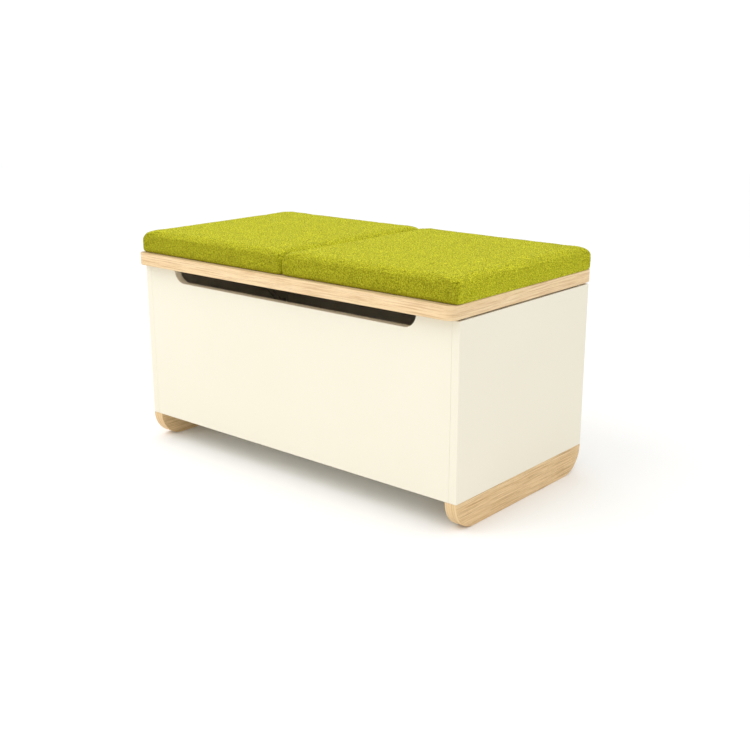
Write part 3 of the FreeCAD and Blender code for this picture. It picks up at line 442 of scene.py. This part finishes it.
MATERIALS = {
    "white_paint": white_lacquer(),
    "lid_oak": lid_oak(),
    "runner_oak": runner_oak(),
    "dowel_beech": beech(),
    "cushion_fabric": felted_wool(),
    "wadding": wadding(),
    "cushion_foam": open_foam(),
    "hook_tape": webbing("hook_tape", (0.66, 0.64, 0.58), (0.40, 0.39, 0.35), 1.2 * MM),
    "loop_tape": webbing("loop_tape", (0.42, 0.44, 0.04), (0.24, 0.25, 0.02), 1.2 * MM),
    "zip_tape": webbing("zip_tape", (0.34, 0.36, 0.03), (0.19, 0.20, 0.015), 0.9 * MM),
    "sewing_thread": webbing("sewing_thread", (0.46, 0.46, 0.04), (0.27, 0.27, 0.02), 0.6 * MM),
    "zip_metal": brushed_steel("zip_metal", (0.62, 0.58, 0.50), (300, 2200, 2200)),
    "hinge_steel": brushed_steel("hinge_steel", (0.68, 0.68, 0.67), (40, 1600, 1600)),
    "zinc_screws": brushed_steel("zinc_screws", (0.62, 0.62, 0.60), (1200, 1200, 1200)),
    "cam_zinc": brushed_steel("cam_zinc", (0.52, 0.52, 0.50), (700, 700, 700)),
    "bracket_steel": coated("bracket_coat", (0.70, 0.68, 0.60), 0.38, 0.55, 900, 0.00010),
    "strut_white": coated("strut_coat", (0.80, 0.77, 0.68), 0.22, 0.32, 500, 0.00005),
    "rod_chrome": polished_rod(),
    "white_nylon": coated("white_nylon", (0.76, 0.74, 0.67), 0.48, 0.62, 1500, 0.00012),
    "bumper_rubber": coated("bumper_rubber", (0.52, 0.51, 0.48), 0.50, 0.65, 800, 0.00010),
}


def dress_cad_nodes():
    """Every CAD node takes the material of its slot."""
    for row in frame["record"]["subparts"]:
        obj = frame["nodes"][row["node"]]
        obj.data.materials.clear()
        obj.data.materials.append(MATERIALS[row["material_slot"]])


# ---------------------------------------------------------------- cushions

VOXEL = 4 * MM
TOP_ROUND = 9 * MM
BASE_ROUND = 3 * MM
CORNER_ROUND = 12 * MM
START_SMALLER = 3 * MM      # the pad swells, so it starts smaller
MOST_SWELL = 5 * MM
HELD_HEIGHT = 3 * MM        # what lies this near the underside stays in place while the pad swells
CLOTH_FRAMES = 20
CROWN = 1.5 * MM            # the middle of the top above the cover's nominal height
TUCK_AT_FRONT = 4.5 * MM    # how far the bottom edge goes in, front and back
TUCK_AT_SIDES = 1.0 * MM    # the same at the two ends
TUCK_HEIGHT = 10 * MM       # how high above the lid the sides begin to go in
BULGE = 1.0 * MM            # how far the ends stand out past the cover's nominal length
ASIDE = 3.2 * MM            # both cushions lie this far to the right of their nominal place
CORNER_FALL = 3.2 * MM      # how far the corners of the top lie below its edges
ON_SIDE = 0.1               # "diagonal", in fit_to_place, is less than this on a side
IN_CORNER = 0.7             # and more than this in a corner
CORNER_RIM = 0.6 * CORNER_ROUND     # the top of a corner is found this near the outline
EDGE_BAND = 40 * MM         # what lies further in than this stays as the simulation left it
EDGE_WHOLE = 8 * MM         # what lies nearer the outline than this follows the profile in full
PROFILE_LEVELS = 29         # heights at which the swollen pad is measured
LEVEL_REACH = 0.035         # share of the height on either side that a level measures
BULGE_LEVEL = 0.35          # share of the height at which the ends stand out most
EDGE_WAVE = 1.0 * MM        # how far the bottom edge wanders in
WAVES_PER_METRE = 9
WAVE_SLICE = 3.1            # where the wave is cut from the noise
MOST_UPRIGHT = 0.7          # Z of a side face's normal, at most
NAP = 0.45 * MM             # how far the tufts stand up and the hollows between them go down
TUFTS_PER_METRE = 310
FIBRES_PER_METRE = 760
ZIP_FLAT = 13 * MM          # flat place above and below the middle of the zip
ZIP_CLEAR = 4 * MM          # the same at its two ends
UNDER_TAPE = 0.3 * MM       # how far the flat place lies under the tape
ABOVE_LID = 0.2 * MM        # how far the underside lies above the lid, at least


def smoothstep(t):
    """Eases from 0 to 1 while t goes from 0 to 1."""
    t = np.clip(t, 0.0, 1.0)
    return t * t * (3 - 2 * t)


def quarter_round(t):
    """How far in a rounded edge goes, from 0 where it begins to 1 at its end."""
    return 1 - np.sqrt(1 - np.clip(t, 0.0, 1.0) ** 2)


def evaluated_mesh(obj):
    """The object's mesh with its modifiers, as new data."""
    graph = bpy.context.evaluated_depsgraph_get()
    graph.update()
    return bpy.data.meshes.new_from_object(obj.evaluated_get(graph))


def bake_modifiers(obj):
    """Gives the object the mesh that its modifiers make, and takes them off."""
    made = evaluated_mesh(obj)
    old = obj.data
    obj.modifiers.clear()
    obj.data = made
    bpy.data.meshes.remove(old)


def relax(obj, times):
    """Smooths the mesh a little, so that small kinks go."""
    smooth = obj.modifiers.new("relax", "SMOOTH")
    smooth.factor = 0.5
    smooth.iterations = times
    bake_modifiers(obj)


def read_places(obj):
    """The places of the mesh's points, one row each."""
    places = np.empty(len(obj.data.vertices) * 3)
    obj.data.vertices.foreach_get("co", places)
    return places.reshape(-1, 3)


def write_places(obj, places):
    obj.data.vertices.foreach_set("co", places.ravel())
    obj.data.update()


def cushion_blank(name, low, high):
    """A block between those corners, with rounded corners and edges."""
    mesh = bpy.data.meshes.new(name)
    bm = bmesh.new()
    bmesh.ops.create_cube(bm, size=1)
    size, middle = high - low, (high + low) / 2
    for v in bm.verts:
        v.co = Vector(v.co[i] * size[i] + middle[i] for i in range(3))
    upright = [e for e in bm.edges if abs(e.verts[0].co.z - e.verts[1].co.z) > MM]
    bmesh.ops.bevel(bm, geom=upright, offset=CORNER_ROUND, segments=7, profile=0.5, affect="EDGES")
    for z, radius in ((high.z, TOP_ROUND), (low.z, BASE_ROUND)):
        rim = [e for e in bm.edges if all(abs(v.co.z - z) < 0.1 * MM for v in e.verts)]
        bmesh.ops.bevel(bm, geom=rim, offset=radius, segments=5, profile=0.5, affect="EDGES")
    bm.to_mesh(mesh)
    bm.free()
    return link(bpy.data.objects.new(name, mesh))


def swell(obj, floor_z):
    """Cloth under pressure, held where it rests on the lid, with a cap on how far a point moves."""
    start = np.array([v.co for v in obj.data.vertices])
    held = obj.vertex_groups.new(name="held")
    held.add([i for i, co in enumerate(start) if co[2] < floor_z + HELD_HEIGHT], 1.0, "REPLACE")
    cloth = obj.modifiers.new("cloth", "CLOTH")
    settings = cloth.settings
    settings.quality = 4
    settings.mass = 0.25
    settings.tension_stiffness = 18
    settings.compression_stiffness = 18
    settings.shear_stiffness = 8
    settings.bending_stiffness = 2.5
    settings.use_pressure = True
    settings.uniform_pressure_force = 4
    settings.vertex_group_mass = "held"
    settings.effector_weights.gravity = 0
    cloth.collision_settings.use_collision = False
    cloth.point_cache.frame_start = 1
    cloth.point_cache.frame_end = CLOTH_FRAMES
    scene = bpy.context.scene
    for step in range(1, CLOTH_FRAMES + 1):
        scene.frame_set(step)
    made = evaluated_mesh(obj)
    end = np.array([v.co for v in made.vertices])
    move = end - start
    far = np.linalg.norm(move, axis=1, keepdims=True)
    capped = start + move * np.minimum(1.0, MOST_SWELL / np.maximum(far, 1e-9))
    obj.modifiers.clear()
    obj.vertex_groups.clear()
    obj.data.vertices.foreach_set("co", capped.ravel())
    bpy.data.meshes.remove(made)
    scene.frame_set(1)


def make_cushion(hand):
    """Foam cushion in a wool cover, resting on the lid and a little crowned."""
    low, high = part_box(f"{hand}_cushion_cover")
    zip_low, zip_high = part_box(f"{hand}_zip_tape")
    shrink = Vector((START_SMALLER, START_SMALLER, START_SMALLER))
    obj = cushion_blank(f"{hand}_cushion", low + shrink, high - shrink)
    remesh = obj.modifiers.new("remesh", "REMESH")
    remesh.mode = "VOXEL"
    remesh.voxel_size = VOXEL
    relax(obj, 2)
    swell(obj, low.z + START_SMALLER)
    subdivision = obj.modifiers.new("finer", "SUBSURF")
    subdivision.levels = 1
    subdivision.render_levels = 1
    bake_modifiers(obj)
    shape_cushion(obj, low, high, zip_low, zip_high)
    for polygon in obj.data.polygons:
        polygon.use_smooth = True
    obj.data.materials.clear()
    obj.data.materials.append(MATERIALS["cushion_fabric"])
    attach(obj, "lid")
    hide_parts(f"{hand}_cushion_cover", f"{hand}_cushion_wadding")


def past_the_sides(points, low, high):
    """How far each point lies outside the cushion's rounded outline seen from above, and which way is
    outward there."""
    middle, half = (low + high) / 2, (high - low) / 2
    from_middle = points[:, :2] - middle[:2]
    past = np.abs(from_middle) - (half[:2] - CORNER_ROUND)
    in_corner = np.maximum(past, 0)
    corner = np.linalg.norm(in_corner, axis=1)
    distance = corner + np.minimum(past.max(axis=1), 0) - CORNER_ROUND
    nearest_side = np.where(past[:, :1] > past[:, 1:], (1.0, 0.0), (0.0, 1.0))
    rounded = in_corner / np.maximum(corner, 1e-9)[:, None]
    outward = np.where((corner > 0)[:, None], rounded, nearest_side) * np.sign(from_middle)
    return distance, outward


def outermost(distance, up, chosen):
    """How far out the chosen points reach at every point's height."""
    distance_there, up_there = distance[chosen], up[chosen]
    levels, reaches = [], []
    for level in np.linspace(0, 1, PROFILE_LEVELS):
        near = np.abs(up_there - level) < LEVEL_REACH
        if near.any():
            levels.append(level)
            reaches.append(distance_there[near].max())
    return np.interp(up, levels, reaches)


def wanted_profile(up, outward, diagonal, corner_top, height):
    """How far out from the outline a point belongs: the rounded top, the bulge of the ends and the
    tucked bottom edge. The corners are lower than the rest, so their round begins lower."""
    below_top = np.maximum(1 - up / (1 + (corner_top - 1) * diagonal), 0)
    rounding = TOP_ROUND * quarter_round(1 - below_top * height / TOP_ROUND)
    deepest = np.abs(outward) @ (TUCK_AT_SIDES, TUCK_AT_FRONT)
    tuck = deepest * quarter_round(1 - up * height / TUCK_HEIGHT)
    from_bulge = np.abs(up - BULGE_LEVEL) / (1 - BULGE_LEVEL)
    bulge = BULGE * np.abs(outward[:, 0]) * (1 - smoothstep(from_bulge))
    return bulge - tuck - rounding


def fit_to_place(points, low, high):
    """Scales the swollen pad to its box, then moves the outermost points of its sides to the wanted
    profile, and the points behind them by less and less."""
    target_high = high + (0, 0, CROWN)
    found_low, found_high = points.min(axis=0), points.max(axis=0)
    points = low + (points - found_low) * (target_high - low) / (found_high - found_low)
    distance, outward = past_the_sides(points, low, high)
    height = high[2] - low[2]
    up = (points[:, 2] - low[2]) / height
    diagonal = 2 * np.abs(outward.prod(axis=1))     # 0 along the sides, 1 in the middle of a corner
    in_corner = diagonal > IN_CORNER
    sides = outermost(distance, up, diagonal < ON_SIDE)
    corners = outermost(distance, up, in_corner)
    found = sides + (corners - sides) * diagonal
    corner_top = up[in_corner & (distance > -CORNER_RIM)].max()
    shift = wanted_profile(up, outward, diagonal, corner_top, height) - found
    shift *= smoothstep((distance + EDGE_BAND) / (EDGE_BAND - EDGE_WHOLE))
    points[:, :2] += outward * shift[:, None]
    from_middle = (points[:, :2] - (low + high)[:2] / 2) / ((high - low)[:2] / 2)
    points[:, 2] -= CORNER_FALL * up * from_middle.prod(axis=1) ** 4
    return points


def shape_cushion(obj, low, high, zip_low, zip_high):
    """Fits the pad to its place and adds the slight wave of a sewn edge, the nap, and the flat place
    that the zip is sewn to."""
    aside = np.array((ASIDE, 0, 0))
    write_places(obj, fit_to_place(read_places(obj), np.array(low) + aside, np.array(high) + aside))
    relax(obj, 4)
    points = read_places(obj)
    normals = np.empty(points.size)
    obj.data.vertices.foreach_get("normal", normals)
    normals = normals.reshape(-1, 3)
    zip_middle_z = (zip_low.z + zip_high.z) / 2
    middle_y = (low.y + high.y) / 2
    for point, normal in zip(points, normals):
        up = (point[2] - low.z) / (high.z - low.z)
        along = Vector((point[0] * WAVES_PER_METRE, point[1] * WAVES_PER_METRE, WAVE_SLICE))
        wave = EDGE_WAVE * (1 - up) * noise.noise(along)
        tuft = noise.noise(Vector(point * TUFTS_PER_METRE))
        fibre = noise.noise(Vector(point * FIBRES_PER_METRE))
        on_side = abs(normal[2]) <= MOST_UPRIGHT
        point += normal * (NAP * (tuft + 0.5 * fibre) - (abs(wave) if on_side else 0))
        point[2] = max(point[2], low.z + ABOVE_LID)
        beside_zip = zip_low.x - ZIP_CLEAR < point[0] < zip_high.x + ZIP_CLEAR
        if beside_zip and abs(point[2] - zip_middle_z) < ZIP_FLAT and point[1] > middle_y:
            point[1] = min(point[1], zip_low.y - UNDER_TAPE)
    write_places(obj, points)


# ---------------------------------------------------------------- zips

TAPE_FACE = 0.8 * MM        # the tape's outer face behind the cushion
TOOTH_PITCH = 1.7 * MM
TOOTH = Vector((1.15, 1.25, 2.9)) * MM
TOOTH_STAGGER = 0.65 * MM
STITCH_PITCH = 4.2 * MM
STITCH = Vector((3.2, 0.34, 0.55)) * MM
STITCH_INSET = 2.2 * MM     # the seam from the tape's long edges
STOP = Vector((2.4, 1.35, 4.2)) * MM
TAPE_GAP = 0.5 * MM         # between the two tapes, under the teeth
TAPE_EDGE, STOP_EDGE = 0.3 * MM, 0.4 * MM       # widths of their eased edges
TOOTH_EDGE, STITCH_EDGE = 0.25 * MM, 0.16 * MM


def add_block(bm, middle, size, bevel, segments=2):
    """A block with eased edges, added to a mesh that is being built."""
    made = bmesh.ops.create_cube(bm, size=1)["verts"]
    for v in made:
        v.co = Vector(v.co[i] * size[i] + middle[i] for i in range(3))
    edges = list({e for v in made for e in v.link_edges})
    bmesh.ops.bevel(bm, geom=edges, offset=bevel, segments=segments, profile=0.5, affect="EDGES")


def new_piece(name, bm, material, body):
    """The finished mesh as a piece of that body."""
    mesh = bpy.data.meshes.new(name)
    bm.to_mesh(mesh)
    bm.free()
    for polygon in mesh.polygons:
        polygon.use_smooth = True
    mesh.materials.append(MATERIALS[material])
    piece = link(bpy.data.objects.new(name, mesh))
    piece.modifiers.new("even_shading", "WEIGHTED_NORMAL")
    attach(piece, body)
    return piece


def spread(low, high, margin, pitch):
    """Places a pitch apart between low and high, as many as fit between the margins, centred."""
    count = int((high - low - 2 * margin) / pitch)
    start = (low + high) / 2 - (count - 1) / 2 * pitch
    return [start + i * pitch for i in range(count)]


def make_zip_tapes(hand, low, high):
    """Two woven tapes with a narrow gap between them."""
    tapes = bmesh.new()
    half = (high.z - low.z - TAPE_GAP) / 2
    middle = (low + high) / 2
    for way in (-1, 1):
        place = Vector((middle.x, low.y + TAPE_FACE / 2, middle.z + way * (half + TAPE_GAP) / 2))
        add_block(tapes, place, Vector((high.x - low.x, TAPE_FACE, half)), TAPE_EDGE)
    tape = new_piece(f"{hand}_zip_tapes", tapes, "zip_tape", "lid")
    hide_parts(f"{hand}_zip_tape")


def make_zip_teeth(hand, low, high):
    """Interlocking teeth on the gap, with a stop at each end."""
    teeth = bmesh.new()
    middle_z = (low.z + high.z) / 2
    face = low.y + TAPE_FACE
    for i, x in enumerate(spread(low.x, high.x, STOP.x, TOOTH_PITCH)):
        z = middle_z + (TOOTH_STAGGER if i % 2 else -TOOTH_STAGGER)
        add_block(teeth, Vector((x, face + TOOTH.y / 2, z)), TOOTH, TOOTH_EDGE, 1)
    for x in (low.x + STOP.x / 2, high.x - STOP.x / 2):
        add_block(teeth, Vector((x, face + STOP.y / 2, middle_z)), STOP, STOP_EDGE)
    new_piece(f"{hand}_zip_teeth", teeth, "zip_metal", "lid")


def make_zip_stitches(hand, low, high):
    """A row of stitches near the outer long edge of each tape."""
    seam = bmesh.new()
    for z in (low.z + STITCH_INSET, high.z - STITCH_INSET):
        for x in spread(low.x, high.x, STITCH_INSET, STITCH_PITCH):
            add_block(seam, Vector((x, low.y + TAPE_FACE, z)), STITCH, STITCH_EDGE, 1)
    new_piece(f"{hand}_zip_stitches", seam, "sewing_thread", "lid")


def make_zip(hand):
    """The zip behind one cushion, in the place of its plain CAD tape."""
    low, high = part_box(f"{hand}_zip_tape")
    make_zip_tapes(hand, low, high)
    make_zip_teeth(hand, low, high)
    make_zip_stitches(hand, low, high)


# ---------------------------------------------------------------- small metal

def soften_small_metal():
    """Eased edges on the stamped and cast pieces."""
    widths = {"zip_slider": 0.45, "zip_pull": 0.35, "lower_bracket": 0.3, "upper_bracket": 0.3}
    for hand in SIDES:
        for name, width in widths.items():
            bevel = frame["nodes"][f"{hand}_{name}"].modifiers.new("eased", "BEVEL")
            bevel.width = width * MM
            bevel.segments = 2
            bevel.limit_method = "ANGLE"
            bevel.angle_limit = math.radians(40)


# ---------------------------------------------------------------- making it all

make_camera()
make_world()
make_area_light(
    "key", azimuth=-25, elevation=52, distance=3.2, size=2.4, watts=27, colour=(1.0, 0.985, 0.96),
)
make_floor()
dress_cad_nodes()
soften_small_metal()
for hand in SIDES:
    make_cushion(hand)
    make_zip(hand)
bpy.context.scene.view_settings.view_transform = "Standard"
